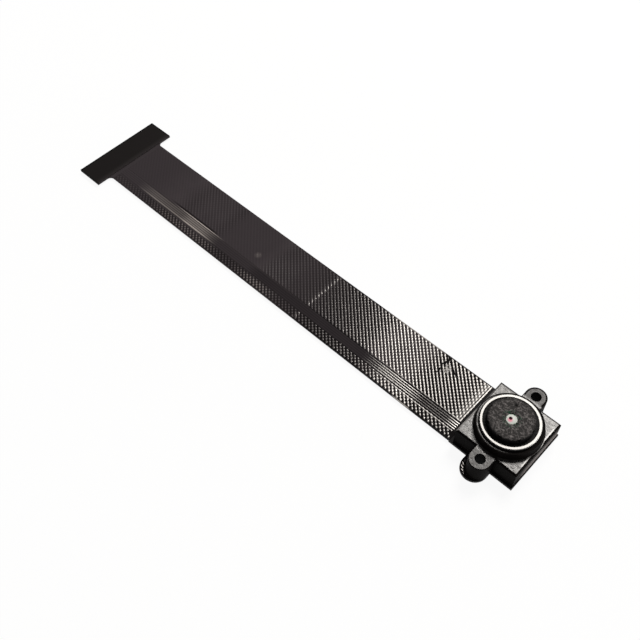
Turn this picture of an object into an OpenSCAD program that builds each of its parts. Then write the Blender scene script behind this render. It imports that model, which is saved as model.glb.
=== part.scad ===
// Camera module: a small square lens holder with two screw ears at one end of a
// long flexible film circuit, and a wide connector end at the other.
// Millimetres. The origin is on the lens axis, at the underside of the camera's
// stiffener. +X runs along the ribbon to the contacts, +Z is where the lens looks.

/* [Film circuit] */
// Width of the ribbon
flex_w = 8.3; // [7.9:0.1:9.5]
// Thickness of the film circuit
flex_t = 0.15; // [0.1:0.01:0.3]
// Distance from the lens axis to the contact edge
reach = 65.7; // [30:0.1:120]
// Length of the wide connector end
head_len = 3.9; // [3.3:0.1:6]
// Radius where the ribbon meets the connector end
neck_r = 0.6; // [0.1:0.05:0.8]
// How far the film reaches past the holder, away from the contacts
tail_margin = 0.1; // [0:0.05:1]

/* [Contacts] */
// Number of contact fingers
contact_count = 24; // [20:1:40]
// Distance from one contact finger to the next
contact_pitch = 0.5; // [0.5:0.05:1]
// Width of a contact finger
contact_w = 0.3; // [0.15:0.01:0.4]
// Length of a contact finger
contact_len = 2.9; // [1.5:0.1:3.2]
// Thickness of a contact finger
contact_t = 0.035; // [0.02:0.005:0.1]

/* [Shield lines and traces] */
// Distance from one shield line to the next, across the lines
hatch_pitch = 0.39; // [0.3:0.01:1.2]
// Width of a shield line
hatch_line_w = 0.16; // [0.1:0.01:0.25]
// Height of one layer of shield lines
hatch_t = 0.02; // [0.01:0.005:0.05]
// Width of the border line round each band
border_w = 0.1; // [0.05:0.01:0.2]
// Bare film left along the ribbon's edges
edge_margin = 0.1; // [0.05:0.05:0.4]
// Number of raised signal traces
trace_count = 5; // [2:1:8]
// Distance from one signal trace to the next
trace_pitch = 0.24; // [0.2:0.01:0.26]
// Width of a signal trace
trace_w = 0.12; // [0.06:0.01:0.16]
// Middle of the strip of traces, measured from the ribbon's middle
trace_y = 2.32; // [1:0.01:2.5]
// Clear film beside the strip of traces
strip_gap = 0.17; // [0.1:0.01:0.3]
// Clear film between the holder and the shield lines
lens_end_gap = 0.45; // [0.1:0.05:1]
// Clear film between the shield lines and the connector end
contact_end_gap = 0.6; // [0.1:0.05:1]

/* [Stiffeners] */
// Thickness of the plate under the camera
plate_t = 0.2; // [0.1:0.05:0.5]
// How far that plate reaches along the ribbon, past the holder
plate_margin = 0.4; // [0:0.1:3]
// Thickness of the stiffener on the connector end
head_plate_t = 0.15; // [0.1:0.05:0.4]

/* [Holder] */
// Length of the holder's block, along the ribbon
holder_len = 7.5; // [7.4:0.1:9]
// Width of the holder's block, across the ribbon
holder_wid = 7.8; // [7.4:0.1:9]
// Height of the holder's block
holder_h = 2.5; // [2.3:0.1:4]
// Wall round the sensor
holder_wall = 0.6; // [0.4:0.05:0.7]
// Height of the space for the sensor
cavity_h = 1.15; // [1.05:0.05:1.3]
// Thickness of the shelf between the sensor's space and the thread
shelf_t = 0.2; // [0.1:0.05:0.3]
// Width of the shelf that the infrared filter rests against
filter_rest = 0.3; // [0.2:0.05:0.4]
// Chamfer along the top edges
edge_bevel = 0.2; // [0.05:0.05:0.3]
// Thickness of the adhesive bead under the holder
bond_t = 0.05; // [0.02:0.01:0.1]

/* [Screw ears] */
// Distance between the two screw holes
ear_pitch = 9.6; // [8.8:0.1:12]
// Outer radius of an ear
ear_r = 1.2; // [0.9:0.05:1.5]
// Diameter of the screw holes
ear_hole_d = 1.15; // [0.8:0.05:1.4]
// Chamfer round the top of an ear
ear_bevel = 0.08; // [0.02:0.02:0.15]
// Radius of the film's and plate's tab under an ear
tab_r = 1.5; // [1.5:0.05:2.5]
// How far the tabs sit from the holes, towards the contacts
tab_shift = 0.3; // [0:0.05:0.3]
// How much wider the holes in the tabs are than the screw holes
tab_hole_extra = 0.4; // [0.35:0.05:0.5]

/* [Collar] */
// Diameter of the lens thread
thread_d = 6; // [5.6:0.1:6.1]
// Wall of the collar at its top
collar_wall = 0.5; // [0.4:0.05:0.55]
// How much the collar's radius grows towards its foot
collar_draft = 0.1; // [0:0.05:0.15]
// Height of the collar above the block
collar_h = 0.9; // [0.5:0.1:2]
// Radius of the fillet at the collar's foot
collar_fillet = 0.12; // [0.05:0.01:0.2]

/* [Lens barrel] */
// Radial clearance of the barrel in its thread
thread_gap = 0.05; // [0.02:0.01:0.1]
// Clearance left for focusing, above the collar
focus_gap = 0.05; // [0:0.01:0.2]
// Clearance left for focusing, under the barrel
foot_gap = 0.1; // [0.02:0.02:0.3]
// Diameter of the nose
nose_d = 4.95; // [4.4:0.05:5.2]
// Height of the nose above the collar
nose_h = 0.95; // [0.7:0.05:2]
// Rounding of the nose's top edge
nose_round = 0.2; // [0.05:0.05:0.3]
// Wall of the nose over the front lens
nose_wall = 0.35; // [0.2:0.05:0.45]
// Thickness of the crown that carries the ring
crown_t = 0.12; // [0.08:0.02:0.2]
// Number of grip notches round the nose
notch_count = 8; // [3:1:16]
// Depth of a grip notch
notch_depth = 0.12; // [0.05:0.01:0.2]
// Width of a grip notch
notch_w = 0.4; // [0.2:0.05:0.6]
// Height of a grip notch
notch_h = 0.3; // [0.2:0.02:0.36]
// Angle of the first grip notch from +X
notch_turn = 6.75; // [0:0.25:45]
// Diameter of the front opening
window_d = 1.2; // [0.8:0.05:1.6]
// Width of the slope round the front opening
window_slope = 0.25; // [0.1:0.05:0.4]
// Radius of the dimple left by the moulding gate
gate_r = 0.16; // [0.1:0.02:0.2]
// Depth of that dimple
gate_depth = 0.05; // [0.02:0.01:0.08]
// Angle of that dimple from +X
gate_turn = -70; // [-180:5:180]

/* [Bright ring] */
// Outer diameter of the ring
ring_d = 6.3; // [6.1:0.05:6.8]
// Inner diameter of the ring
ring_bore = 5.6; // [5.4:0.05:5.8]
// Height of the ring
ring_h = 0.2; // [0.12:0.02:0.4]
// Chamfer on the ring's top edges
ring_bevel = 0.06; // [0.02:0.01:0.08]

/* [Optics] */
// Radial clearance of the lenses in the barrel
lens_gap = 0.03; // [0.01:0.01:0.05]
// Diameter of the front lens
front_lens_d = 2.9; // [2.4:0.1:3.2]
// Rim thickness of the front lens
front_lens_t = 0.45; // [0.3:0.05:0.6]
// Diameter of the middle lens
middle_lens_d = 3.7; // [3.4:0.1:4]
// Rim thickness of the middle lens
middle_lens_t = 0.45; // [0.3:0.05:0.6]
// Diameter of the rear lens
rear_lens_d = 4.4; // [4.1:0.1:4.8]
// Rim thickness of the rear lens
rear_lens_t = 0.5; // [0.3:0.05:0.6]
// Thickness of the aperture stop
stop_t = 0.05; // [0.03:0.01:0.1]
// Opening of the aperture stop
stop_d = 0.8; // [0.4:0.05:1.4]
// Thickness of the spacer ring
spacer_t = 0.2; // [0.1:0.05:0.3]
// Thickness of the retainer ring
retainer_t = 0.2; // [0.1:0.05:0.3]
// Side of the square infrared filter
filter_side = 5; // [4.8:0.1:5.4]
// Thickness of the infrared filter
filter_t = 0.3; // [0.2:0.05:0.4]
// Clearance round the infrared filter
filter_gap = 0.1; // [0.05:0.05:0.2]
// Rise of the front lens's eye
eye_rise = 0.08; // [0.04:0.01:0.12]
// Rise of the other curved lens faces
face_rise = 0.15; // [0.08:0.01:0.18]

/* [Sensor] */
// Length of the sensor, along the ribbon
sensor_len = 5; // [4.4:0.1:5.3]
// Width of the sensor, across the ribbon
sensor_wid = 5; // [4.4:0.1:5.4]
// Thickness of the sensor
sensor_t = 0.35; // [0.2:0.05:0.45]
// Thickness of the sensor's cover glass
cover_t = 0.4; // [0.2:0.05:0.5]
// Height of the solder balls
ball_h = 0.15; // [0.1:0.01:0.2]
// Distance from one solder ball to the next
ball_pitch = 0.6; // [0.5:0.05:1]
// Length of a capacitor or resistor
chip_len = 0.6; // [0.4:0.05:0.8]
// Width of a capacitor or resistor
chip_wid = 0.3; // [0.2:0.05:0.35]
// Capacitors in a row
capacitor_count = 4; // [1:1:5]
// Distance from one capacitor to the next
capacitor_pitch = 1.1; // [0.9:0.05:1.2]
// Resistors in a row
resistor_count = 3; // [1:1:5]
// How much a chip part's end caps stand proud of its body
cap_step = 0.01; // [0.01:0.01:0.03]

/* [Hidden] */
$fn = 64;

// Cuts run past the faces they open by this much.
over = 0.5;
// Straight steps in a quarter of a turned fillet or rounding
arc_steps = 6;
// Radial clearance of the ring on its spigot
spigot_gap = 0.01;
// The slope round the front opening: wide end, height, and how far the cut passes the face
slope_d = window_d + 2 * window_slope;
slope_h = window_slope / 2;
slope_over = 0.001;

// Heights, from the plate under the camera upwards
flex_z = plate_t;
film_z = flex_z + flex_t;
holder_z = film_z + bond_t;
deck_z = holder_z + holder_h;
collar_z = deck_z + collar_h;
filter_z = holder_z + cavity_h;
bore_z = filter_z + filter_t + shelf_t;
barrel_z = bore_z + foot_gap;
crown_z = collar_z + focus_gap;
ring_z = crown_z + crown_t;
nose_z = collar_z + nose_h;
sensor_z = film_z + ball_h;
cover_z = sensor_z + sensor_t;

// Openings and curved faces, as shares of their lens's diameter
hollow_share = 0.7;
bulge_share = 0.55;
spacer_share = 0.65;
retainer_share = 0.8;

// Lens stack, from the nose downwards
stack_z = nose_z - nose_wall;
front_lens_z = stack_z - front_lens_t;
stop_z = front_lens_z - stop_t;
middle_lens_z = stop_z - middle_lens_t;
spacer_z = middle_lens_z - spacer_t;
rear_lens_z = spacer_z - rear_lens_t;
retainer_z = rear_lens_z - retainer_t;

// Film circuit outline
head_w = (contact_count + 1) * contact_pitch;
head_x = reach - head_len;
tail_x = -holder_len / 2 - tail_margin;
shoulder = (head_w - flex_w) / 2;
neck = min(neck_r, 0.9 * shoulder);

// Bands of shield lines and the strip of traces between them
bands_start = holder_len / 2 + lens_end_gap;
bands_end = head_x - contact_end_gap;
strip_half = (trace_count - 1) * trace_pitch / 2 + trace_w / 2 + strip_gap;
edge_y = flex_w / 2 - edge_margin;
WIDE_BAND = [-edge_y, trace_y - strip_half];
NARROW_BAND = [trace_y + strip_half, edge_y];

// Holder
cavity_len = holder_len - 2 * holder_wall;
cavity_wid = holder_wid - 2 * holder_wall;
collar_top_r = thread_d / 2 + collar_wall;
collar_foot_r = collar_top_r + collar_draft;
shelf_hole_d = filter_side - 2 * filter_rest;
shank_r = thread_d / 2 - thread_gap;

FILM = [0.07, 0.07, 0.075];
MOULDED = [0.11, 0.11, 0.115];

// ---- Shared shapes ----

// The tabs under the two ears, as an outline, with their holes left solid.
module tab_outline() {
    for (side = [-1, 1]) {
        translate([tab_shift, side * ear_pitch / 2])
            circle(r = tab_r);
        translate([tab_shift - tab_r, min(0, side * ear_pitch / 2)])
            square([2 * tab_r, ear_pitch / 2]);
    }
}

// The two wider holes under the ears, as an outline.
module tab_holes() {
    for (side = [-1, 1])
        translate([0, side * ear_pitch / 2])
            circle(d = ear_hole_d + tab_hole_extra);
}

// The holder's foot: block and ears, open over the sensor and at the screws.
module foot_outline() {
    difference() {
        union() {
            square([holder_len, holder_wid], center = true);
            for (side = [-1, 1]) {
                translate([0, side * ear_pitch / 2])
                    circle(r = ear_r);
                translate([-ear_r, min(0, side * ear_pitch / 2)])
                    square([2 * ear_r, ear_pitch / 2]);
            }
        }
        square([cavity_len, cavity_wid], center = true);
        tab_holes();
    }
}

// A flat ring with its underside at height z.
module flat_ring(d, bore, h, z) {
    translate([0, 0, z])
        difference() {
            cylinder(d = d, h = h);
            translate([0, 0, -over])
                cylinder(d = bore, h = h + 2 * over);
        }
}

// A spherical cap on height 0 with the given base diameter and rise.
module cap(d, rise) {
    ball_r = (d * d / 4 + rise * rise) / (2 * rise);
    intersection() {
        cylinder(d = d, h = rise);
        translate([0, 0, rise - ball_r])
            sphere(r = ball_r);
    }
}

// ---- Film circuit ----

// The concave corner between the ribbon and the connector end.
module neck_corner() {
    difference() {
        square(neck);
        translate([0, neck])
            circle(r = neck);
    }
}

module flex_outline() {
    translate([tail_x, -flex_w / 2])
        square([head_x - tail_x, flex_w]);
    translate([head_x, -head_w / 2])
        square([head_len, head_w]);
    for (side = [0, 1])
        mirror([0, side])
            translate([head_x - neck, flex_w / 2])
                neck_corner();
    tab_outline();
}

module flex_cable() {
    color(FILM)
        translate([0, 0, flex_z])
            linear_extrude(flex_t)
                difference() {
                    flex_outline();
                    tab_holes();
                }
}

// The area of one band, drawn in from its edges by the given inset.
module band_area(band, inset) {
    translate([bands_start + inset, band[0] + inset])
        square([bands_end - bands_start - 2 * inset, band[1] - band[0] - 2 * inset]);
}

// One band of parallel shield lines at 45 degrees, leaning left (1) or right (-1).
module band_of_lines(band, lean) {
    inset = border_w + hatch_line_w / 2;
    run = band[1] - band[0] - 2 * inset;
    step = hatch_pitch * sqrt(2);
    count = floor((bands_end - bands_start - 2 * inset + run) / step);
    first_x = bands_start + inset - run / 2 + 0.75 * step;
    for (i = [0 : count - 1])
        intersection() {
            band_area(band, inset);
            translate([first_x + i * step, (band[0] + band[1]) / 2])
                rotate(45 * lean)
                    square([2 * run, hatch_line_w], center = true);
        }
}

module shield_lines_left() {
    color([0.13, 0.13, 0.135])
        translate([0, 0, film_z])
            for (band = [WIDE_BAND, NARROW_BAND])
                linear_extrude(hatch_t)
                    band_of_lines(band, 1);
}

module shield_lines_right() {
    color([0.16, 0.16, 0.165])
        translate([0, 0, film_z + hatch_t])
            for (band = [WIDE_BAND, NARROW_BAND])
                linear_extrude(hatch_t)
                    band_of_lines(band, -1);
}

module shield_border() {
    color([0.13, 0.13, 0.135])
        translate([0, 0, film_z])
            for (band = [WIDE_BAND, NARROW_BAND])
                linear_extrude(2 * hatch_t)
                    difference() {
                        band_area(band, 0);
                        band_area(band, border_w);
                    }
}

module signal_traces() {
    first_y = trace_y - (trace_count - 1) * trace_pitch / 2 - trace_w / 2;
    color([0.2, 0.19, 0.18])
        for (i = [0 : trace_count - 1])
            translate([bands_start, first_y + i * trace_pitch, film_z])
                cube([bands_end - bands_start, trace_w, hatch_t]);
}

module contact_fingers() {
    first_y = -(contact_count - 1) * contact_pitch / 2 - contact_w / 2;
    color("gold")
        for (i = [0 : contact_count - 1])
            translate([reach - contact_len, first_y + i * contact_pitch, flex_z - contact_t])
                cube([contact_len, contact_w, contact_t]);
}

module finger_stiffener() {
    color([0.06, 0.06, 0.06])
        translate([head_x, -head_w / 2, film_z])
            cube([head_len, head_w, head_plate_t]);
}

module camera_stiffener() {
    color([0.1, 0.1, 0.1])
        linear_extrude(plate_t)
            difference() {
                union() {
                    translate([tail_x, -flex_w / 2])
                        square([holder_len / 2 + plate_margin - tail_x, flex_w]);
                    tab_outline();
                }
                tab_holes();
            }
}

// ---- Holder ----

module holder_bond() {
    color([0.2, 0.2, 0.22])
        translate([0, 0, film_z])
            linear_extrude(bond_t)
                foot_outline();
}

// Side view of a block of the given length, with its two top edges chamfered.
module block_profile(len, h, bevel) {
    polygon([
        [-len / 2, 0],
        [len / 2, 0],
        [len / 2, h - bevel],
        [len / 2 - bevel, h],
        [-len / 2 + bevel, h],
        [-len / 2, h - bevel]
    ]);
}

module block() {
    intersection() {
        rotate([90, 0, 0])
            translate([0, 0, -holder_wid / 2])
                linear_extrude(holder_wid)
                    block_profile(holder_len, holder_h, edge_bevel);
        rotate([90, 0, 90])
            translate([0, 0, -holder_len / 2])
                linear_extrude(holder_len)
                    block_profile(holder_wid, holder_h, edge_bevel);
    }
}

// An ear on the +Y side: a tab with a round end, chamfered round its top.
module ear() {
    translate([0, ear_pitch / 2, 0]) {
        cylinder(r = ear_r, h = holder_h - ear_bevel);
        translate([0, 0, holder_h - ear_bevel])
            cylinder(r1 = ear_r, r2 = ear_r - ear_bevel, h = ear_bevel);
        rotate([90, 0, 0])
            linear_extrude(ear_pitch / 2 - cavity_wid / 2)
                block_profile(2 * ear_r, holder_h, ear_bevel);
    }
}

// The collar as a turned shape, with its draft and the fillet at its foot.
module collar() {
    rotate_extrude()
        polygon(concat(
            [[0, -over], [collar_foot_r + collar_fillet, -over]],
            [for (i = [0 : arc_steps])
                let (a = 90 * i / arc_steps)
                    [collar_foot_r + collar_fillet * (1 - sin(a)), collar_fillet * (1 - cos(a))]],
            [[collar_top_r, collar_h], [0, collar_h]]
        ));
}

module lens_holder() {
    color(MOULDED)
        difference() {
            translate([0, 0, holder_z]) {
                block();
                for (side = [0, 1])
                    mirror([0, side, 0])
                        ear();
                translate([0, 0, holder_h])
                    collar();
            }
            translate([-cavity_len / 2, -cavity_wid / 2, holder_z - over])
                cube([cavity_len, cavity_wid, cavity_h + over]);
            translate([0, 0, filter_z])
                linear_extrude(filter_t)
                    square(filter_side + 2 * filter_gap, center = true);
            translate([0, 0, filter_z])
                cylinder(d = shelf_hole_d, h = filter_t + shelf_t + over);
            translate([0, 0, bore_z])
                cylinder(d = thread_d, h = collar_z - bore_z + over);
            for (side = [-1, 1])
                translate([0, side * ear_pitch / 2, holder_z - over])
                    cylinder(d = ear_hole_d, h = holder_h + 2 * over);
        }
}

// ---- Lens barrel ----

// The barrel's outside: shank, crown, the spigot that centres the ring, and the nose.
module barrel_body() {
    nose_r = nose_d / 2;
    spigot_r = ring_bore / 2 - spigot_gap;
    rotate_extrude()
        polygon(concat(
            [
                [0, barrel_z],
                [shank_r, barrel_z],
                [shank_r, crown_z],
                [ring_d / 2, crown_z],
                [ring_d / 2, ring_z],
                [spigot_r, ring_z],
                [spigot_r, ring_z + ring_h / 2],
                [nose_r, ring_z + ring_h / 2]
            ],
            [for (i = [0 : arc_steps])
                let (a = 90 * i / arc_steps)
                    [nose_r - nose_round * (1 - cos(a)), nose_z - nose_round * (1 - sin(a))]],
            [[0, nose_z]]
        ));
}

module grip_notches() {
    for (i = [0 : notch_count - 1])
        rotate(notch_turn + i * 360 / notch_count)
            translate([nose_d / 2 - notch_depth, -notch_w / 2, nose_z - notch_h])
                cube([notch_depth + over, notch_w, notch_h + over]);
}

// The dimple that the moulding gate leaves in the nose's face.
module gate_dimple() {
    ball_r = (gate_r * gate_r + gate_depth * gate_depth) / (2 * gate_depth);
    face_inner_r = window_d / 2 + window_slope;
    face_outer_r = nose_d / 2 - nose_round;
    rotate(gate_turn)
        translate([(face_inner_r + face_outer_r) / 2, 0, nose_z - gate_depth + ball_r])
            sphere(r = ball_r);
}

module lens_barrel() {
    color([0.09, 0.09, 0.09])
        difference() {
            barrel_body();
            translate([0, 0, barrel_z - over])
                cylinder(d = rear_lens_d + 2 * lens_gap, h = spacer_z - barrel_z + over);
            translate([0, 0, spacer_z])
                cylinder(d = middle_lens_d + 2 * lens_gap, h = stop_z - spacer_z);
            translate([0, 0, stop_z])
                cylinder(d = front_lens_d + 2 * lens_gap, h = stack_z - stop_z);
            translate([0, 0, stack_z])
                cylinder(d = window_d, h = nose_wall + over);
            translate([0, 0, nose_z - slope_h])
                cylinder(d1 = window_d, d2 = slope_d, h = slope_h + slope_over);
            grip_notches();
            gate_dimple();
        }
}

module trim_ring() {
    outer = ring_d / 2;
    inner = ring_bore / 2;
    color("gainsboro")
        translate([0, 0, ring_z])
            rotate_extrude()
                polygon([
                    [inner, 0],
                    [outer, 0],
                    [outer, ring_h - ring_bevel],
                    [outer - ring_bevel, ring_h],
                    [inner + ring_bevel, ring_h],
                    [inner, ring_h - ring_bevel]
                ]);
}

// ---- Optics ----

module front_lens() {
    eye_d = window_d - 2 * lens_gap;
    eye_h = nose_wall - slope_h;
    color([0.75, 0.9, 0.85, 0.6])
        translate([0, 0, front_lens_z])
            difference() {
                union() {
                    cylinder(d = front_lens_d, h = front_lens_t);
                    cylinder(d = eye_d, h = front_lens_t + eye_h);
                    translate([0, 0, front_lens_t + eye_h])
                        cap(eye_d, eye_rise);
                }
                cap(hollow_share * front_lens_d, face_rise);
            }
}

module aperture_stop() {
    color([0.05, 0.05, 0.05])
        flat_ring(front_lens_d, stop_d, stop_t, stop_z);
}

module middle_lens() {
    color([0.8, 0.85, 0.9, 0.6])
        translate([0, 0, middle_lens_z]) {
            cylinder(d = middle_lens_d, h = middle_lens_t);
            rotate([180, 0, 0])
                cap(bulge_share * middle_lens_d, face_rise);
        }
}

module lens_spacer() {
    color([0.05, 0.05, 0.05])
        flat_ring(middle_lens_d, spacer_share * middle_lens_d, spacer_t, spacer_z);
}

module rear_lens() {
    color([0.8, 0.85, 0.9, 0.6])
        translate([0, 0, rear_lens_z])
            difference() {
                cylinder(d = rear_lens_d, h = rear_lens_t);
                translate([0, 0, rear_lens_t])
                    rotate([180, 0, 0])
                        cap(hollow_share * rear_lens_d, face_rise);
            }
}

module lens_retainer() {
    color([0.05, 0.05, 0.05])
        flat_ring(rear_lens_d, retainer_share * rear_lens_d, retainer_t, retainer_z);
}

module ir_filter() {
    color([0.7, 0.85, 0.95, 0.5])
        translate([-filter_side / 2, -filter_side / 2, filter_z])
            cube([filter_side, filter_side, filter_t]);
}

// ---- Sensor ----

module sensor_glass() {
    color([0.8, 0.9, 0.9, 0.5])
        translate([-sensor_len / 2, -sensor_wid / 2, cover_z])
            cube([sensor_len, sensor_wid, cover_t]);
}

module image_sensor() {
    color([0.15, 0.12, 0.2])
        translate([-sensor_len / 2, -sensor_wid / 2, sensor_z])
            cube([sensor_len, sensor_wid, sensor_t]);
}

module solder_balls() {
    across = floor(sensor_len / ball_pitch - 0.5);
    along = floor(sensor_wid / ball_pitch - 0.5);
    color("silver")
        for (i = [0 : across - 1], j = [0 : along - 1])
            translate([i - (across - 1) / 2, j - (along - 1) / 2, 0] * ball_pitch)
                translate([0, 0, film_z])
                    cylinder(r = ball_pitch / 4, h = ball_h);
}

// A chip part lying along X on height 0: a body between two end caps.
module chip(h) {
    cap_len = chip_len / 5;
    translate([-chip_len / 2 + cap_len, -chip_wid / 2 + cap_step, 0])
        cube([chip_len - 2 * cap_len, chip_wid - 2 * cap_step, h - 2 * cap_step]);
    for (end = [-chip_len / 2, chip_len / 2 - cap_len])
        translate([end, -chip_wid / 2, 0])
            cube([cap_len, chip_wid, h]);
}

module capacitors() {
    row_y = (sensor_wid + cavity_wid) / 4;
    color([0.6, 0.5, 0.4])
        for (side = [-1, 1], i = [0 : capacitor_count - 1])
            translate([(i - (capacitor_count - 1) / 2) * capacitor_pitch, side * row_y, film_z])
                chip(chip_wid);
}

module resistors() {
    row_x = (sensor_len + cavity_len) / 4;
    color([0.1, 0.1, 0.12])
        for (i = [0 : resistor_count - 1])
            translate([row_x, (i - (resistor_count - 1) / 2) * 2 * chip_len, film_z])
                rotate(90)
                    chip(0.75 * chip_wid);
}

flex_cable();
shield_lines_left();
shield_lines_right();
shield_border();
signal_traces();
contact_fingers();
finger_stiffener();
camera_stiffener();
holder_bond();
lens_holder();
lens_barrel();
trim_ring();
front_lens();
aperture_stop();
middle_lens();
lens_spacer();
rear_lens();
lens_retainer();
ir_filter();
sensor_glass();
image_sensor();
solder_balls();
capacitors();
resistors();
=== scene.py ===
"""Looks for the camera module: a lens holder with screw ears on a long black film circuit.

Lengths are millimetres in the part's frame unless a name or comment says otherwise, and MM turns them into
metres. X runs along the ribbon from the lens axis to the contacts, Y across it and Z up to the lens.
"""
import math

import bpy
import numpy as np
from mathutils import Matrix, Vector


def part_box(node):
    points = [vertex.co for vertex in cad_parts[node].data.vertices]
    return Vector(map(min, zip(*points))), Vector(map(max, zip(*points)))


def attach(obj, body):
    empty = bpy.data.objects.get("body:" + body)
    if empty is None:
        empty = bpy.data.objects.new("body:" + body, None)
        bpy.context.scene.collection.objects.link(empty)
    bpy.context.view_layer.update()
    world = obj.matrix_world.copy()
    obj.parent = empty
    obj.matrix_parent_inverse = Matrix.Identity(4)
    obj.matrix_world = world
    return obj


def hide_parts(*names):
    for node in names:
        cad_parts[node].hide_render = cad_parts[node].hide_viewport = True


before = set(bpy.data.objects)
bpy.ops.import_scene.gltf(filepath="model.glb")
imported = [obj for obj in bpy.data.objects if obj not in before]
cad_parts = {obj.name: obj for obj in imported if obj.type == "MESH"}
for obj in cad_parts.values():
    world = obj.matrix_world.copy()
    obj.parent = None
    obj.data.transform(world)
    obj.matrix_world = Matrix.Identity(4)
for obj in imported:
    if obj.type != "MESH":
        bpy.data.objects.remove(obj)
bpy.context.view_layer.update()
MM = 0.001


def span(node):
    """A node's lowest and highest corner."""
    low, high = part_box(node)
    return np.array(low) / MM, np.array(high) / MM


# Heights taken from the solids
FILM_Z = span("flex_cable")[1][2]
EYE_Z = span("front_lens")[1][2]

# The cover film: its thickness, the rise of a line in it, and the pitch and direction of the shield lines
SKIN = 0.006
LINE_RISE = 0.015
HATCH_PITCH = 0.39
DIAGONAL = math.sqrt(0.5)

# Places along and across the ribbon. Four numbers say where a stretch starts, is full, fades and ends
BANDS_X = 4.52
CREASE_X = 27.3
WIDE_HIGH_Y = 1.68
NARROW_LOW_Y = 2.93
PLAIN_MIDDLE = (35.0, 37.0, 42.0, 44.0)
PLAIN_END = (50.0, 57.0)

# The holder's ear, whose circle the film's tab follows
EAR = (0.0, 4.8)
EAR_R = 1.2

# ---------------------------------------------------------------- material maths


class Value:
    """A socket's value in a finish, so that sums on it can be written out plainly."""

    def __init__(self, finish, socket):
        self.finish = finish
        self.socket = socket

    def __add__(self, other):
        return self.finish.math("ADD", self, other)

    __radd__ = __add__

    def __sub__(self, other):
        return self.finish.math("SUBTRACT", self, other)

    def __rsub__(self, other):
        return self.finish.math("SUBTRACT", other, self)

    def __mul__(self, other):
        return self.finish.math("MULTIPLY", self, other)

    __rmul__ = __mul__

    def __truediv__(self, other):
        return self.finish.math("DIVIDE", self, other)

    def __abs__(self):
        return self.finish.math("ABSOLUTE", self)


class Finish:
    """A material whose nodes are added one by one."""

    def __init__(self, name):
        self.material = bpy.data.materials.new(name)
        self.material.use_nodes = True
        self.tree = self.material.node_tree
        self.tree.nodes.clear()
        place = self.node("ShaderNodeTexCoord", {}, {}, "Object")
        self.place = self.node("ShaderNodeVectorMath", {"operation": "SCALE"}, {0: place, "Scale": 1 / MM})
        self.x, self.y, self.z = self.parts(self.place)

    def node(self, kind, settings, sockets, output=0):
        """Any node: its type, its settings, then the values or links of its sockets."""
        node = self.tree.nodes.new(kind)
        for key, value in settings.items():
            setattr(node, key, value)
        for key, value in sockets.items():
            self.plug(node, key, value)
        return Value(self, node.outputs[output])

    def plug(self, node, key, value):
        """Gives a socket its value or its link."""
        if isinstance(value, Value):
            self.tree.links.new(value.socket, node.inputs[key])
        else:
            node.inputs[key].default_value = value

    def parts(self, vector):
        """A vector's three numbers."""
        axes = self.tree.nodes.new("ShaderNodeSeparateXYZ")
        self.plug(axes, 0, vector)
        return [Value(self, axes.outputs[i]) for i in range(3)]

    def facing(self):
        """The direction in which the surface faces, as three numbers."""
        return self.parts(self.node("ShaderNodeNewGeometry", {}, {}, "Normal"))

    def math(self, operation, *terms):
        """One step of arithmetic."""
        return self.node("ShaderNodeMath", {"operation": operation}, dict(enumerate(terms)))

    def larger(self, first, second):
        """The larger of two values."""
        return self.math("MAXIMUM", first, second)

    def from_axis(self):
        """The distance from the lens axis."""
        return self.math("SQRT", self.x * self.x + self.y * self.y)

    def from_spot(self, spot):
        """The distance from one spot."""
        return self.node("ShaderNodeVectorMath", {"operation": "DISTANCE"}, {0: self.place, 1: spot}, 1)

    def between(self, value, low, high):
        """0 at low and 1 at high, with a smooth change and no overshoot. Low may be the larger number."""
        sockets = {0: value, 1: low, 2: high}
        return self.node("ShaderNodeMapRange", {"interpolation_type": "SMOOTHSTEP"}, sockets)

    def window(self, value, start, full, fading, end):
        """1 between full and fading, and 0 before start and after end."""
        return self.between(value, start, full) * self.between(value, end, fading)

    def grain(self, size, detail=3.0, stretch=(1, 1, 1)):
        """Noise from 0 to 1 with lumps of about the given size."""
        scale = tuple(s / size for s in stretch)
        scaled = self.node("ShaderNodeVectorMath", {"operation": "MULTIPLY"}, {0: self.place, 1: scale})
        return self.node("ShaderNodeTexNoise", {}, {"Vector": scaled, "Scale": 1.0, "Detail": detail})

    def shade(self, share, first, second):
        """A colour that goes from the first to the second as the share goes from 0 to 1."""
        pair = [c if isinstance(c, Value) else (*c, 1) for c in (first, second)]
        return self.node("ShaderNodeMix", {"data_type": "RGBA"}, {0: share, 6: pair[0], 7: pair[1]}, 2)

    def relief(self, height, depth):
        """A normal from a height between 0 and 1, and the depth that it stands for."""
        return self.node("ShaderNodeBump", {}, {"Strength": 1.0, "Distance": depth * MM, "Height": height})

    def coat(self, **sockets):
        """A surface shader. An underscore in a name stands for the space in the socket's name."""
        named = {key.replace("_", " "): value for key, value in sockets.items()}
        return self.node("ShaderNodeBsdfPrincipled", {}, named)

    def join(self, share, first, second):
        """Two surface shaders in one, the second where the share is 1."""
        return self.node("ShaderNodeMixShader", {}, {0: share, 1: first, 2: second})

    def end(self, shader):
        """The finished material."""
        output = self.tree.nodes.new("ShaderNodeOutputMaterial")
        self.tree.links.new(shader.socket, output.inputs["Surface"])
        return self.material


# ---------------------------------------------------------------- the cover film's finish
#
# Limits next to f.x are places along the ribbon, and limits next to f.y are places across it.

PLAIN_BLACK = (0.0345, 0.0290, 0.0318)
# Painted shade: the near black of the valleys between the raised lines
VALLEY_BLACK = (0.0032, 0.0025, 0.0027)
# Painted sheen on lines and valleys far along the ribbon, and the colour of one real scuff
SHEEN_AND_SCUFF_PALE = (0.480, 0.430, 0.400)
WARM_GLOSS = (1.0, 0.96, 0.90, 1)
SCUFF = (37.1, 0.27, FILM_Z)


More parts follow.
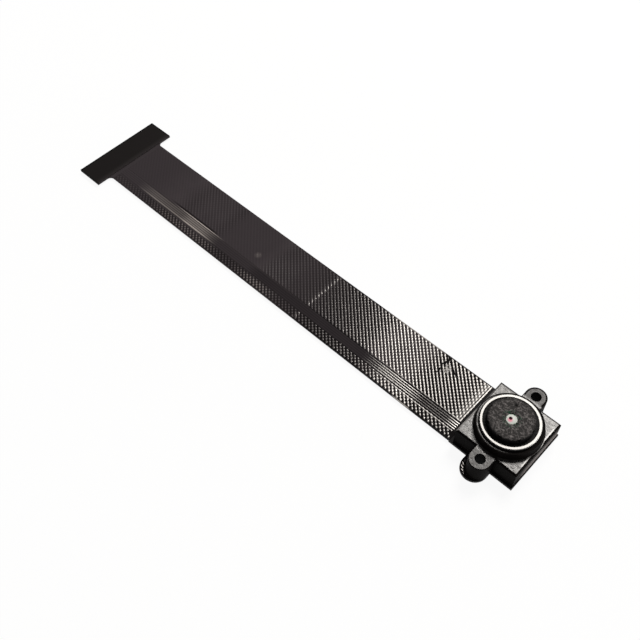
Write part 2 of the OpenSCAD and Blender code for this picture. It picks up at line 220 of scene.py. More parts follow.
def film_finish(name, lines, sheen, crest, spread, lightening):
    """Black cover film, with glossy pale lines raised in it and dull valleys between them.

    lines holds the two colours of the lines, paler than the near black valleys, which paints light and shade
    on the raised lines. The other four are functions of the finish. sheen says how glossy the lines are, and
    crest above which share of its height a line counts as raised. spread says how far the valleys take the
    lines' colour, lifting their painted shade, and the last how far first the lines and then the valleys are
    made lighter, which paints a sheen and at one place a real scuff.
    """
    f = Finish(name)
    raised = f.between((f.z - FILM_Z - SKIN) / LINE_RISE, crest(f), 1.0)
    cloud = f.grain(3.0)
    fine = f.grain(0.12, 4.0)
    plain_share = 0.7 * f.window(f.x, *PLAIN_MIDDLE) + f.between(f.x, *PLAIN_END)
    line_colour = f.shade(plain_share, f.shade(cloud, *lines), PLAIN_BLACK)
    valley_colour = f.shade(spread(f), VALLEY_BLACK, line_colour)
    # How far lines and valleys are lightened: a painted sheen, and at one place a real scuff
    paled_line, paled_valley = lightening(f)
    line_colour = f.shade(paled_line, line_colour, SHEEN_AND_SCUFF_PALE)
    valley_colour = f.shade(paled_valley, valley_colour, SHEEN_AND_SCUFF_PALE)
    rough = 0.15 + 0.05 * cloud + 0.03 * fine
    dull = f.coat(
        Base_Color=f.shade(raised, valley_colour, line_colour),
        Roughness=rough + 0.2,
        Specular_IOR_Level=0.01,
    )
    glossy = f.coat(
        Base_Color=line_colour,
        Roughness=rough,
        Specular_IOR_Level=1.0,
        Specular_Tint=WARM_GLOSS,
        Coat_Weight=0.8,
        Coat_Roughness=0.17,
        Coat_IOR=1.6,
        Normal=f.relief(fine, 0.001),
    )
    return f.end(f.join(raised * sheen(f), dull, glossy))


def narrow_side(f):
    """1 on the narrow band, 0 on the wide one."""
    return f.between(f.y, 2.90, 2.95)


def hatch_plain(f):
    """How plain the bands look: the wide one past its middle and at its end, the narrow one at its end."""
    narrow = narrow_side(f)
    start, full, fading, end = PLAIN_MIDDLE
    middle = f.between(f.x + 2.0 * f.grain(5.0), start, full) * f.between(f.x, end, fading)
    wide_share = 0.9 * middle + f.between(f.x + f.grain(5.0), 49.0, 53.0)
    narrow_share = 0.6 * f.between(f.x, 54.0, 58.5)
    return (1.0 - narrow) * wide_share + narrow * narrow_share


def hatch_sheen(f):
    """The bands are glossy up to a bend in the ribbon, duller past it and plain beyond the crease."""
    narrow = narrow_side(f)
    slant = f.x + 0.75 * f.y
    beside_holder = (1.0 - narrow) * f.between(f.x, 4.85, 4.75)
    near = 0.56 + 0.44 * f.between(slant, 8.5, 15.0) + 0.12 * beside_holder
    narrow_dips = 0.14 * f.between(f.x, 12.0, 9.0) + 0.25 * f.window(f.x, 15.0, 17.0, 19.0, 20.5)
    past_bend = 0.06 * f.between(slant, 18.5, 21.5)
    faded = 0.80 * f.between(f.x, 23.5, 30.0)
    clearer = (0.12 + 0.40 * f.between(f.y, -2.5, 0.3)) * f.window(f.x, 30.5, 32.0, 34.5, 36.0)
    far = (1.0 - faded + clearer) * (1.0 - hatch_plain(f))
    crease = 0.10 * f.between(abs(f.x - CREASE_X), 0.30, 0.10)
    return near * (1.0 - narrow * narrow_dips) * (1.0 - past_bend) * far + crease


def hatch_crest(f):
    """A lower crest makes the glossy lines broad, which they are beside the holder and at the bend."""
    narrow = narrow_side(f)
    wide_broad = 0.34 * f.between(f.x, 6.6, 4.9) + 0.12 * f.window(f.x, 11.0, 12.5, 17.5, 20.0)
    narrow_broad = 0.20 * f.window(f.x, 9.5, 11.0, 15.0, 16.0)
    return 0.45 - wide_broad * (1.0 - narrow) - narrow_broad * narrow


def hatch_spread(f):
    """The valleys' painted shade lifts where the ribbon bends, and far from the camera they take the lines'
    colour.
    """
    narrow = narrow_side(f)
    bent = 0.70 * f.window(f.x, 10.5, 12.5, 16.7, 18.9) * (1.0 - 0.75 * narrow)
    light_stretch = 0.20 * f.window(f.x, 43.0, 45.0, 48.0, 50.0)
    far = 0.08 * f.between(f.x, 16.0, 20.0) + 0.47 * f.between(f.x, 24.0, 31.0) + light_stretch
    narrow_less = 0.45 - 0.25 * f.between(f.x, 49.0, 54.0)
    dark_strip = 0.65 * f.window(f.y, 1.26, 1.34, 1.47, 1.53) * f.window(f.x, 43.0, 44.5, 50.0, 53.0)
    spread = bent + (1.0 - narrow_less * narrow) * far + 0.45 * hatch_plain(f)
    return spread * (1.0 - dark_strip)


def hatch_sheen_and_scuff(f):
    """Painted sheen on a border line far along the ribbon and on dots in the narrow band, and one small real
    scuff.
    """
    border = f.window(f.y, 1.53, 1.57, 1.70, 1.72) * f.window(f.x, 41.5, 45.5, 47.0, 52.0)
    patches = f.window(f.x, 31.0, 33.5, 35.5, 38.5) + 0.7 * f.window(f.x, 41.0, 43.5, 48.0, 55.0)
    dots = 0.20 * f.between(f.y, 3.10, 3.20) * (patches + 0.12)
    scuff = 0.13 * f.between(f.from_spot(SCUFF), 0.60, 0.10)
    return f.larger(border, f.larger(dots, scuff)), f.larger(0.4 * border, 0.5 * scuff)


def trace_sheen(f):
    """The traces shine beside the holder and where the ribbon bends towards the light."""
    dip = 0.79 * f.window(f.x, 4.5, 6.1, 9.0, 11.8)
    near = 0.90 - dip + 0.10 * f.between(f.x, 9.0, 12.0)
    return near * f.between(f.x, 18.0, 15.0)


def trace_crest(f):
    """The traces shine over more of their width where the ribbon bends most."""
    return 0.15 - 0.45 * f.window(f.x, 12.3, 13.5, 15.0, 16.0)


def trace_spread(f):
    """Past the bright bend the painted shade between the traces lifts and they look like the film between
    them.
    """
    return 0.90 * f.between(f.x, 14.0, 17.5) + 0.10 * f.between(f.x, 50.0, 56.0)


def trace_pale_sheen(f):
    """Painted sheen: the far stretch of the traces is made pale, most of all the outermost one."""
    stretch = f.window(f.x, 42.0, 46.0, 54.0, 58.0) * (1.0 - 0.55 * f.between(f.x, 47.6, 49.4))
    lightening = stretch * (0.32 + 0.36 * f.between(f.y, 2.60, 2.72))
    return lightening, 0.42 * lightening


# ---------------------------------------------------------------- the other finishes


def base_film():
    """The film's own surface: margins and gaps beside the bands, and the neck and tabs."""
    f = Finish("base_film")
    cloud = f.grain(2.0)
    fine = f.grain(0.12, 4.0)
    near_colour = f.shade(cloud, (0.0040, 0.0036, 0.0038), (0.0070, 0.0062, 0.0066))
    far_colour = f.shade(cloud, (0.025, 0.0210, 0.0215), (0.034, 0.0288, 0.0295))
    far_colour = f.shade(f.between(f.x, *PLAIN_END), far_colour, PLAIN_BLACK)
    # Painted light: the film turns lighter far along the ribbon
    colour = f.shade(f.between(f.x, 20.0, 34.0), near_colour, far_colour)
    # The film's edges are paler on their upper part over two short stretches near the holder
    pale_low_edge = f.between(f.y, -3.98, -4.06) * f.window(f.x, 10.5, 12.5, 17.0, 21.0)
    pale_high_edge = f.between(f.y, 3.98, 4.04) * f.window(f.x, 9.4, 9.9, 11.5, 12.2)
    above = f.between(f.z, FILM_Z - 0.12, FILM_Z - 0.06)
    colour = f.shade(f.larger(pale_low_edge, pale_high_edge) * above, colour, (0.30, 0.28, 0.26))
    rough = 0.42 + 0.12 * fine
    return f.end(f.coat(Base_Color=colour, Roughness=rough, IOR=1.12, Normal=f.relief(fine, 0.0015)))


def stiffener_black():
    """Dull black laminate on the connector end and under the camera.

    Painted light makes it paler towards and at its step, and painted shade makes it darker at its rim.
    """
    f = Finish("stiffener_black")
    weave = f.grain(0.25, 4.0, (1, 3, 1))
    colour = f.shade(f.grain(2.5), (0.0040, 0.0028, 0.0026), (0.0066, 0.0050, 0.0048))
    # Painted light: paler towards the step and on the step's wall
    colour = f.shade(f.between(f.x, 62.6, 61.8), colour, (0.0140, 0.0115, 0.0118))
    step = f.between(f.x, 61.86, 61.72) * f.between(f.x, 50.0, 60.0)
    colour = f.shade(step, colour, (0.052, 0.044, 0.047))
    # Painted shade: darker along the rim
    rim = f.larger(f.between(f.x, 65.35, 65.55), f.between(abs(f.y), 6.02, 6.18))
    colour = f.shade(rim, colour, (0.0012, 0.0010, 0.0010))
    rough = 0.50 + 0.15 * weave
    normal = f.relief(weave, 0.003)
    return f.end(f.coat(Base_Color=colour, Roughness=rough, Specular_IOR_Level=0.10, Normal=normal))


GRAIN_DEPTH = 0.048
# Radii of the painted highlight on the collar's lip
LIP_R = (3.22, 3.28, 3.34, 3.42)


def moulded_black():
    """Glass-filled black moulding: satin, grained top faces, duller ears, near black collar and walls.

    Much of its light and shade is painted: walls darker than the top faces with a lit foot, shade on the
    ears, round the collar, towards a far corner and along a far edge, and highlights on the collar's lip and
    two edges.
    """
    f = Finish("moulded_black")
    speck = f.grain(0.11, 4.0)
    blotch = f.grain(0.42, 3.0)
    crisp = f.between(blotch, 0.35, 0.65)
    facing = f.facing()
    up = f.between(facing[2], 0.80, 0.95)
    below_collar = f.between(f.z, 2.99, 2.93)
    ear = f.between(abs(f.y), 4.0, 4.3)
    radius = f.from_axis()

    # Top faces
    top = f.coat(
        Base_Color=f.shade(crisp, (0.012, 0.011, 0.011), (0.100, 0.095, 0.093)),
        Roughness=0.24 + 0.12 * crisp + 0.08 * ear,
        Specular_IOR_Level=0.5,
        Normal=f.relief(0.2 * speck + 0.8 * blotch, GRAIN_DEPTH),
    )

    # Walls, darker than the top faces as painted shade, with painted light at the foot
    # of the one that faces away from the ribbon
    wall_colour = f.shade(f.grain(1.2), (0.0028, 0.0022, 0.0020), (0.0050, 0.0040, 0.0038))
    lit_foot = f.between(facing[0], -0.6, -0.9) * f.between(f.z, 2.4, 1.1) * f.between(f.y, 3.4, 1.4)
    wall = f.coat(
        Base_Color=f.shade(lit_foot * (1.0 - ear), wall_colour, (0.165, 0.150, 0.146)),
        Roughness=0.5 + 0.2 * speck,
        IOR=1.08,
        Normal=f.relief(speck, 0.003),
    )

    # How much of the top faces' look each place has. Taking some away paints shade: on the ears, most of all
    # on the low side and round an ear's border, round the collar, towards a far corner and along the far edge
    outwards = f.larger(abs(f.y) - EAR[1], 0.0)
    ear_border = f.between(f.math("SQRT", f.x * f.x + outwards * outwards), EAR_R - 0.25, EAR_R - 0.17)
    low_side = f.between(f.y, 1.0, -1.0)
    ear_shade = ear * (0.30 + 0.14 * low_side + 0.56 * low_side * ear_border)
    collar_shadow = 0.85 * f.between(radius + 0.059 * f.x - 0.081 * f.y, 3.62, 3.52)
    far_corner_shade = 0.20 * f.between(f.x - f.y, 3.6, 5.2)
    far_edge_shade = 0.6 * f.window(f.y, -3.98, -3.92, -3.66, -3.58)
    body_top = below_collar * (1.0 - ear_shade) * (1.0 - collar_shadow) * (1.0 - far_corner_shade - far_edge_shade)
    # Painted highlight on the collar's lip, on the side towards +X and +Y
    lip_lit = f.between(f.z, 3.70, 3.78) * f.between(0.7 * (f.x + f.y), 0.2, 2.6)
    lip_highlight = 0.55 * f.window(radius, *LIP_R) * lip_lit
    body = f.join(up * (body_top + lip_highlight), wall, top)

    # Painted highlights on edges: satin towards the ribbon and bright on the opposite side
    sloped = f.between(facing[2], 0.50, 0.60) * f.between(abs(f.y), 3.86, 3.78) * below_collar
    ribbon_edge_sheen = sloped * f.between(facing[0], 0.60, 0.68) * (0.30 + 0.70 * f.between(f.y, 0.0, 0.6))
    satin = f.coat(Base_Color=f.shade(crisp, (0.16, 0.15, 0.145), (0.30, 0.29, 0.28)), Roughness=0.5)
    lit = f.window(f.y, -3.1, -2.7, -0.7, -0.2) + 0.85 * f.window(f.y, 1.0, 2.1, 2.6, 2.8)
    dim = 0.10 * f.between(f.y, -3.2, -2.9) + 0.15 * f.window(f.y, -0.7, -0.4, 0.1, 0.5)
    away_edge_highlight = f.between(f.x, -3.36, -3.46) * up * below_collar * (lit + dim)
    bright = f.coat(
        Base_Color=(0.42, 0.41, 0.40, 1),
        Roughness=0.26 + 0.06 * speck,
        Specular_IOR_Level=0.6,
    )
    return f.end(f.join(away_edge_highlight, f.join(ribbon_edge_sheen, body, satin), bright))


DIMPLE = (0.59, -1.62, 4.72)
WRINKLE_DEPTH = 0.03


def lens_black():
    """Matte black barrel, with a coarse wrinkled grain on the nose's face and a dimple in it.

    Painted shade darkens the face towards its rim and in the dimple.
    """
    f = Finish("lens_black")
    speck = f.grain(0.07, 3.0)
    wrinkle = f.between(abs(f.grain(0.42, 0.7) - 0.5), 0.10, 0.0)
    fleck = f.between(f.grain(0.25, 1.0), 0.56, 0.66)
    radius = f.from_axis()
    dimple = f.between(f.from_spot(DIMPLE), 0.22, 0.14)
    green = f.between(radius, 1.10, 0.95) * f.between(f.grain(0.16, 2.0), 0.54, 0.62)
    face_colour = f.shade(0.48 * wrinkle + 0.50 * fleck, (0.0155, 0.0136, 0.0132), (0.150, 0.138, 0.135))
    # Painted shade: the face darkens towards its rim and is near black at its edge
    face_colour = f.shade(0.55 * f.between(radius, 1.9, 2.45), face_colour, (0.006, 0.0052, 0.0052))
    face_colour = f.shade(f.between(radius, 2.38, 2.46), face_colour, (0.0015, 0.0012, 0.0012))
    # Painted shade in the dimple
    face_colour = f.shade(dimple, face_colour, (0.004, 0.0035, 0.0035))
    face_colour = f.shade(green, face_colour, (0.010, 0.040, 0.022))
    rough = 0.50 + 0.2 * speck
    face = f.coat(
        Base_Color=face_colour,
        Roughness=rough,
        Specular_IOR_Level=0.12,
        Normal=f.relief(0.75 * wrinkle + 0.25 * speck, WRINKLE_DEPTH),
    )
    side_colour = f.shade(speck, (0.0030, 0.0026, 0.0028), (0.0060, 0.0052, 0.0056))
    side = f.coat(Base_Color=side_colour, Roughness=rough, IOR=1.12, Normal=f.relief(speck, 0.004))
    return f.end(f.join(f.between(f.facing()[2], 0.5, 0.9), side, face))


TOOL_LINE_RATE = 180.0  # radians of their wave for each millimetre of radius


def bright_metal():
    """Satin silver ring with fine tool lines round it, darker at its outer and inner edge with painted shade.
    """
    f = Finish("bright_metal")
    radius = f.from_axis()
    haze = f.grain(0.5)
    tool_lines = f.math("SINE", radius * TOOL_LINE_RATE) * 0.5 + 0.5
    # Painted shade at the outer and inner edge, wider on the +X, +Y side
    lean = 0.7 * (f.x + f.y)
    outer = f.between(radius + 0.010 * lean, 3.09, 3.16)
    inner = f.between(radius - 0.020 * lean, 2.86, 2.80)
    colour = f.shade(haze, (0.32, 0.315, 0.305), (0.43, 0.425, 0.415))
    colour = f.shade(f.larger(outer, inner), colour, (0.06, 0.058, 0.056))
    rough = 0.50 + 0.10 * haze
    normal = f.relief(tool_lines, 0.0006)
    return f.end(f.coat(Base_Color=colour, Metallic=1.0, Roughness=rough, Normal=normal))


GLASS_IOR = 1.52


def optical_glass(name, tint):
    """Clear coated glass."""
    f = Finish(name)
    haze = f.grain(0.6)
    colour = f.shade(haze, tint, tuple(min(1, 1.03 * c) for c in tint))
    rough = 0.02 + 0.02 * haze
    return f.end(f.coat(Base_Color=colour, Roughness=rough, IOR=GLASS_IOR, Transmission_Weight=1.0))


# Centres of the painted shade of the stop and of the painted pink reflection in the front lens
STOP_SPOT = (0.13, 0.0, EYE_Z)
PINK_SPOT = (0.07, 0.18, EYE_Z)


def front_glass():
    """The front lens: a pale coated eye with a pink heart and a dark red stop seen in it.

    The eye is painted on: its pale, pink and green colours are painted reflections and its dark stop painted
    shade.
    """
    f = Finish("front_glass")
    haze = f.grain(0.3)
    # Painted reflections in the pale, pink and green colours, and painted shade in the dark stop
    stop = f.between(f.from_spot(STOP_SPOT), 0.23, 0.14)
    pink = f.between(f.from_spot(PINK_SPOT), 0.36, 0.10)
    green = f.between(f.grain(0.16, 2.0), 0.45, 0.65) * f.between(f.from_axis(), 0.42, 0.55)
    colour = f.shade(haze, (0.48, 0.50, 0.47), (0.66, 0.68, 0.64))
    colour = f.shade(pink, colour, (0.74, 0.30, 0.37))
    colour = f.shade(stop, colour, (0.020, 0.001, 0.004))
    colour = f.shade(green, colour, (0.16, 0.30, 0.20))
    rough = 0.16 + 0.05 * haze
    eye = f.coat(Base_Color=colour, Roughness=rough, IOR=1.5, Specular_IOR_Level=0.015)
    body = f.coat(Base_Color=(0.9, 0.97, 0.93, 1), Roughness=rough, IOR=GLASS_IOR, Transmission_Weight=1.0)
    return f.end(f.join(f.between(f.z, 4.36, 4.42), body, eye))


def gold_contacts():
    """Gold plated copper."""
    f = Finish("gold_contacts")
    wear = f.grain(0.4, 3.0, (0.3, 1, 1))
    colour = f.shade(wear, (0.72, 0.49, 0.17), (0.86, 0.64, 0.27))
    rough = 0.22 + 0.14 * wear
    return f.end(f.coat(Base_Color=colour, Metallic=1.0, Roughness=rough, Normal=f.relief(wear, 0.001)))


def plain(name, dark, light, rough, size, metallic=0.0):
    """A small part's finish: two close colours in grains of one size."""
    f = Finish(name)
    lumps = f.grain(size)
    finish = f.coat(
        Base_Color=f.shade(lumps, dark, light),
        Roughness=rough - 0.05 + 0.1 * lumps,
        Metallic=metallic,
        Normal=f.relief(lumps, 0.002),
    )
    return f.end(finish)


HATCH_LINES = (0.0360, 0.0302, 0.0330), (0.0520, 0.0440, 0.0475)
TRACE_LINES = (0.0195, 0.0165, 0.0182), (0.0250, 0.0212, 0.0230)
HATCH_FILM = film_finish("hatch_film", HATCH_LINES, hatch_sheen, hatch_crest, hatch_spread, hatch_sheen_and_scuff)
TRACE_FILM = film_finish("trace_film", TRACE_LINES, trace_sheen, trace_crest, trace_spread, trace_pale_sheen)
STIFFENER = stiffener_black()
BARREL = lens_black()
GLASS = optical_glass("optical_glass", (0.93, 0.98, 0.95))
CERAMIC = plain("chip_ceramic", (0.32, 0.25, 0.18), (0.44, 0.36, 0.27), 0.5, 0.15)

NODE_FINISH = {
    "flex_cable": base_film(),
    "contact_fingers": gold_contacts(),
    "finger_stiffener": STIFFENER,
    "camera_stiffener": STIFFENER,
    "holder_bond": plain("adhesive", (0.010, 0.010, 0.011), (0.022, 0.022, 0.024), 0.4, 0.2),
    "lens_holder": moulded_black(),
    "lens_barrel": BARREL,
    "trim_ring": bright_metal(),
    "front_lens": front_glass(),
    "aperture_stop": BARREL,
    "middle_lens": GLASS,
    "lens_spacer": BARREL,
    "rear_lens": GLASS,
    "lens_retainer": BARREL,
    "ir_filter": optical_glass("filter_glass", (0.55, 0.85, 0.88)),
    "sensor_glass": GLASS,
    "image_sensor": plain("silicon", (0.020, 0.016, 0.030), (0.035, 0.028, 0.050), 0.2, 0.5),
    "solder_balls": plain("solder", (0.55, 0.55, 0.56), (0.68, 0.68, 0.68), 0.35, 0.15, metallic=1.0),
    "capacitors": CERAMIC,
    "resistors": CERAMIC,
}
for node, finish in NODE_FINISH.items():
    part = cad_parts[node]
    if not part.material_slots:
        part.data.materials.append(finish)
    for slot in part.material_slots:
        slot.link = "OBJECT"
        slot.material = finish


# ---------------------------------------------------------------- shapes


def add_piece(name, sheet, finish):
    """A new smooth piece of the cover film from a sheet's points and faces. It rides with the part."""
    points, faces = sheet
    mesh = bpy.data.meshes.new(name)
    mesh.from_pydata((points * MM).tolist(), [], faces)
    mesh.polygons.foreach_set("use_smooth", [True] * len(mesh.polygons))
    mesh.materials.append(finish)
    mesh.update()
    made = bpy.data.objects.new(name, mesh)
    bpy.context.scene.collection.objects.link(made)
    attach(made, "root")
    return made


def close_sheet(x, y, rise, quads):
    """A solid sheet on the film: a top at the given rises, walls round its border and one flat face below."""
    points = np.stack([x, y, FILM_Z + rise], 1)
    edges = np.concatenate([quads[:, [i, (i + 1) % 4]] for i in range(4)])
    key = np.sort(edges, 1)
    key = key[:, 0] * len(points) + key[:, 1]
    _, place, count = np.unique(key, return_inverse=True, return_counts=True)
    after = {int(a): int(b) for a, b in edges[count[place] == 1]}
    start = next(iter(after))
    loop = [start]
    while after[loop[-1]] != start:
        loop.append(after[loop[-1]])
    under = {v: len(points) + i for i, v in enumerate(loop)}
    below = points[loop]
    below[:, 2] = FILM_Z
    faces = quads.tolist()
    faces += [[b, a, under[a], under[b]] for a, b in zip(loop, loop[1:] + loop[:1])]
    faces.append([under[v] for v in reversed(loop)])
    return np.concatenate([points, below]), faces


def grid_quads(shape):
    """The faces of a plain grid of points with so many rows and columns."""
    number = np.arange(shape[0] * shape[1]).reshape(shape)
    corners = [number[:-1, :-1], number[1:, :-1], number[1:, 1:], number[:-1, 1:]]
    return np.stack([c.ravel() for c in corners], 1)


def ease(value, low, high):
    """0 at low and 1 at high, with a smooth change. Low may be the larger number."""
    t = np.clip((value - low) / (high - low), 0, 1)
    return t * t * (3 - 2 * t)


def window(value, start, full, fading, end):
    """1 between full and fading, and 0 before start and after end."""
    return ease(value, start, full) * ease(value, end, fading)


def hump(distance, width):
    """1 at no distance, and next to nothing at two widths away."""
    return np.exp(-((distance / width) ** 2))


def ridges(distance, pitch):
    """Rounded ridges from 0 to 1, one at each multiple of the pitch."""
    return 0.5 + 0.5 * np.cos(2 * math.pi * distance / pitch)


def raised_lines(distance, pitch):
    """Ridges with steeper sides."""
    return ease(ridges(distance, pitch), 0, 1)


# ---------------------------------------------------------------- the two bands of shield lines

HATCH_STEPS = 6  # points of the sheet from one raised line to the next
BORDER_RAMP = 0.05
BORDER_LINE_W = 0.085
NARROW_LEAD = 0.42  # how much nearer to the holder the narrow band's outer corner starts
GROOVE_X = 10.4
GROOVE_W = 0.090
SCRATCH = ((9.95, -3.5), (8.80, -2.70), (8.10, -2.35))
SCRATCH_W = 0.07


def diagonal_steps(low, high, step):
    """The numbers of the points along one diagonal, from one corner of a band to the other."""
    return np.arange(math.floor(low * DIAGONAL / step) - 1, math.ceil(high * DIAGONAL / step) + 1)


def lattice_sheet(low, high, height):
    """A sheet from corner low to corner high whose rows of points run along the shield lines."""
    step = HATCH_PITCH / HATCH_STEPS
    rows = diagonal_steps(low[0] + low[1], high[0] + high[1], step)
    columns = diagonal_steps(low[0] - high[1], high[0] - low[1], step)
    i, j = np.meshgrid(rows, columns, indexing="ij")
    x, y = (i + j) * step * DIAGONAL, (i - j) * step * DIAGONAL
    spare = 0.05 * step
    inside = (x > low[0] + spare) & (x < high[0] - spare) & (y > low[1] + spare) & (y < high[1] - spare)
    used = inside[:-1, :-1] | inside[1:, :-1] | inside[1:, 1:] | inside[:-1, 1:]
    number = np.arange(x.size).reshape(x.shape)
    corners = [number[:-1, :-1], number[:-1, 1:], number[1:, 1:], number[1:, :-1]]
    kept, quads = np.unique(np.stack([c[used] for c in corners], 1), return_inverse=True)
    x = np.clip(x.ravel()[kept], low[0], high[0])
    y = np.clip(y.ravel()[kept], low[1], high[1])
    return close_sheet(x, y, height(x, y), quads.reshape(-1, 4))


def from_line(x, y, first, second):
    """The distance of each place from the line between two points."""
    way = np.array(second) - np.array(first)
    t = np.clip(((x - first[0]) * way[0] + (y - first[1]) * way[1]) / (way @ way), 0, 1)
    return np.hypot(x - first[0] - t * way[0], y - first[1] - t * way[1])


def shield_lines(x, y, narrow):
    """The crossed lines, from 0 to 1. Close to the holder they give way to rows across the ribbon."""
    first = raised_lines((x + y) * DIAGONAL, HATCH_PITCH)
    second = raised_lines((x - y) * DIAGONAL, HATCH_PITCH)
    crossing = 0.20 + 0.14 * ease(x, 8.5, 6.0) + 0.13 * window(x, 10.8, 12.2, 14.5, 16.5)
    if narrow:
        crossing = 0.36
    lines = (1 - crossing) * first + crossing * second
    rows = raised_lines(x, HATCH_PITCH * DIAGONAL)
    beside = (0.80 - 0.45 * ease(x, 4.75, 5.1)) * ease(x, 6.3, 5.2) * (0.3 if narrow else 1.0)
    return (1 - beside) * lines + beside * rows


def damaged(x, y, lines):
    """The lines with a rubbed spot, a wavy groove and a bent scratch, all near the holder."""
    speckle = 0.5 + 0.5 * np.sin(17.0 * x + 5.0 * np.sin(7.0 * y))
    speckle = speckle * (0.5 + 0.5 * np.sin(15.0 * y + 4.0 * np.sin(9.0 * x)))
    rubbed = 0.8 * window(x, 9.1, 9.4, 10.0, 10.3) * window(y, -3.3, -3.0, -2.1, -1.9)
    lines = lines * (1 - rubbed) + rubbed * (0.58 + 0.4 * speckle)
    wave = 0.12 * np.sin(4.1 * y) + 0.07 * np.sin(9.3 * y + 1.0)
    groove = hump(x - GROOVE_X - wave, GROOVE_W) * ease(y, -1.4, -1.6)
    scratch = np.minimum(from_line(x, y, *SCRATCH[:2]), from_line(x, y, *SCRATCH[1:]))
    return lines * (1 - groove) * (1 - hump(scratch, SCRATCH_W))


def band_sheet(low, high, line_y, narrow):
    """The cover film over one band of shield lines, with one plain line along its border, at line_y.

    Far along the wide band that line is taller and a little further out, next to a flattened strip.
    """

    def height(x, y):
        lines = damaged(x, y, shield_lines(x, y, narrow))
        far = 0 if narrow else ease(x, 42.5, 45.0)
        border_line = hump(y - line_y - 0.06 * far, BORDER_LINE_W) * (0.85 if narrow else 0.75 + 0.25 * far)
        border_line = border_line * (1 - 0.75 * window(x, 14.5, 19.0, 40.0, 42.5))
        lines = np.maximum(lines * (1 - 0.7 * far * ease(y, 1.26, 1.34)), border_line)
        crease = 0.6 * raised_lines((x + y) * DIAGONAL, HATCH_PITCH) * hump(x - CREASE_X, 0.2)
        start = BANDS_X - (NARROW_LEAD * ease(y, 3.50, 3.75) if narrow else 0.0)
        inwards = np.minimum.reduce([x - start, high[0] - x, y - low[1], high[1] - y])
        return SKIN + ease(inwards, 0.0, BORDER_RAMP) * LINE_RISE * (lines + crease)

    return lattice_sheet(low, high, height)


BAND_LOW, BAND_HIGH = span("shield_border")
wide = add_piece(
    "shield_hatch_wide",
    band_sheet((BANDS_X, BAND_LOW[1]), (BAND_HIGH[0], WIDE_HIGH_Y), line_y=1.56, narrow=False),
    HATCH_FILM,
)
narrow = add_piece(
    "shield_hatch_narrow",
    band_sheet((BANDS_X - NARROW_LEAD, NARROW_LOW_Y), BAND_HIGH[:2], line_y=3.05, narrow=True),
    HATCH_FILM,
)
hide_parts("shield_lines_left", "shield_lines_right")
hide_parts("shield_border")

# ---------------------------------------------------------------- signal traces and the tab

TRACE_COUNT = 4
TRACE_PITCH = 0.285
TRACE_Y = 1.895
TRACE_STEPS = 10  # points of the sheet from one trace to the next
TRACE_LEAD = 0.04
TRACE_END = span("signal_traces")[1][0]


def trace_sheet():
    """The cover film over the signal traces, as long straight ridges."""
    start = BANDS_X - TRACE_LEAD
    middle = np.linspace(start + 0.1, TRACE_END - 0.1, 88)
    xs = np.concatenate([[start, start + TRACE_LEAD], middle, [TRACE_END - TRACE_LEAD, TRACE_END]])
    low, high = TRACE_Y - TRACE_PITCH / 2, TRACE_Y + (TRACE_COUNT - 0.5) * TRACE_PITCH
    ys = np.linspace(low, high, TRACE_STEPS * TRACE_COUNT + 1)
    x, y = np.meshgrid(xs, ys, indexing="ij")
    rise = SKIN + LINE_RISE * raised_lines(y - TRACE_Y, TRACE_PITCH)
    return close_sheet(x.ravel(), y.ravel(), rise.ravel(), grid_quads(x.shape))


traces = add_piece("trace_ridges", trace_sheet(), TRACE_FILM)
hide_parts("signal_traces")

TAB = (0.3, 4.8)
TAB_R = 1.43
TAB_TURNS = (-52, 75)  # degrees
EAR_GAP = 0.05


def tab_sheet():
    """The hatch that shows on the film's tab beside the holder's ear, as a crescent with soft dots."""
    turns = np.radians(np.linspace(*TAB_TURNS, 64))
    offset = TAB[0] - EAR[0]
    shift = offset * np.cos(turns)
    inner = EAR_GAP - shift + np.sqrt(shift**2 + EAR_R**2 - offset**2)
    share, turn = np.meshgrid(np.linspace(0, 1, 13), turns, indexing="ij")
    r = inner * (1 - share) + TAB_R * share
    x, y = TAB[0] + r * np.cos(turn), TAB[1] + r * np.sin(turn)
    dots = (ridges(r * (turn + 0.3) + 0.15 * share, 0.44) * ridges(share - 0.60, 0.9)) ** 0.25
    border = ease(np.minimum(share, 1 - share), 0, 0.12)
    rise = SKIN + LINE_RISE * border * dots
    return close_sheet(x.ravel(), y.ravel(), rise.ravel(), grid_quads(x.shape))


add_piece("tab_hatch", tab_sheet(), HATCH_FILM)


# ---------------------------------------------------------------- floor, light and camera

FLOOR_HALF = 0.9  # metres
FLOOR_DROP = 0.00002  # metres
FLOOR_GLOW = 0.92


def floor_white():
    """A white floor that keeps the part's shadow."""
    f = Finish("floor_white")
    kinds = ("Is Camera Ray", "Is Glossy Ray", "Is Transmission Ray")
    camera_ray, glossy_ray, clear_ray = (f.node("ShaderNodeLightPath", {}, {}, kind) for kind in kinds)
    seen = f.larger(f.larger(camera_ray, glossy_ray), clear_ray)
    matte = f.node("ShaderNodeBsdfDiffuse", {}, {"Color": (0.88, 0.88, 0.88, 1)})
    bright = f.node("ShaderNodeEmission", {}, {"Color": (1, 1, 1, 1), "Strength": 1.0})
    return f.end(f.join(seen * FLOOR_GLOW, matte, bright))


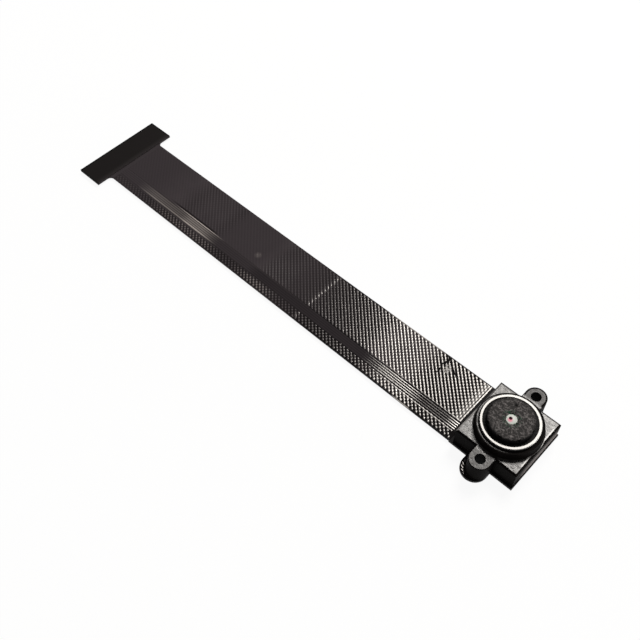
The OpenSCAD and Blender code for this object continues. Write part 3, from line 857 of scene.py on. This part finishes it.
mesh = bpy.data.meshes.new("floor")
corners = [(x * FLOOR_HALF, y * FLOOR_HALF, -FLOOR_DROP) for x, y in ((-1, -1), (1, -1), (1, 1), (-1, 1))]
mesh.from_pydata(corners, [], [(0, 1, 2, 3)])
mesh.materials.append(floor_white())
floor = bpy.data.objects.new("floor", mesh)
bpy.context.scene.collection.objects.link(floor)

LAMP_DISTANCE = 0.6  # metres
LAMP_COLOUR = (1.0, 0.965, 0.92)


def add_lamp(name, azimuth, elevation, width, height, radiance):
    """A soft box turned towards the part, with sides in metres. Its radiance is what a mirror would show."""
    light = bpy.data.lights.new(name, "AREA")
    light.color = LAMP_COLOUR
    light.shape = "RECTANGLE"
    light.size, light.size_y = width, height
    light.energy = radiance * math.pi * width * height
    lamp = bpy.data.objects.new(name, light)
    a, e = math.radians(azimuth), math.radians(elevation)
    way = Vector((math.cos(e) * math.cos(a), math.cos(e) * math.sin(a), math.sin(e)))
    lamp.location = way * LAMP_DISTANCE
    lamp.rotation_euler = way.to_track_quat("Z", "Y").to_euler()
    bpy.context.scene.collection.objects.link(lamp)


add_lamp("key", azimuth=-77, elevation=53, width=0.22, height=0.22, radiance=23.0)
add_lamp("rim", azimuth=-152, elevation=7, width=0.22, height=0.12, radiance=16.0)

AMBIENT = 0.30
world = bpy.data.worlds.new("studio")
bpy.context.scene.world = world
world.use_nodes = True
world.node_tree.nodes["Background"].inputs["Color"].default_value = (1, 1, 1, 1)
world.node_tree.nodes["Background"].inputs["Strength"].default_value = AMBIENT

AIM = Vector((24.873, 1.997, 0)) * MM
CAMERA_PLACE = Vector((-13.289, 38.851, 76.071)) * MM
CAMERA_ROLL = math.radians(2.826)
forward = (AIM - CAMERA_PLACE).normalized()
level = forward.cross(Vector((0, 0, 1))).normalized()
right = math.cos(CAMERA_ROLL) * level + math.sin(CAMERA_ROLL) * forward.cross(level)
up = right.cross(forward)
camera = bpy.data.objects.new("camera", bpy.data.cameras.new("camera"))
camera.data.lens = 44.59
camera.data.sensor_width = 36
camera.data.clip_start = 0.001
camera.data.clip_end = 10
camera.matrix_world = Matrix.Translation(CAMERA_PLACE) @ Matrix((right, up, -forward)).transposed().to_4x4()
bpy.context.scene.collection.objects.link(camera)
bpy.context.scene.camera = camera
bpy.context.scene.view_settings.view_transform = "Standard"
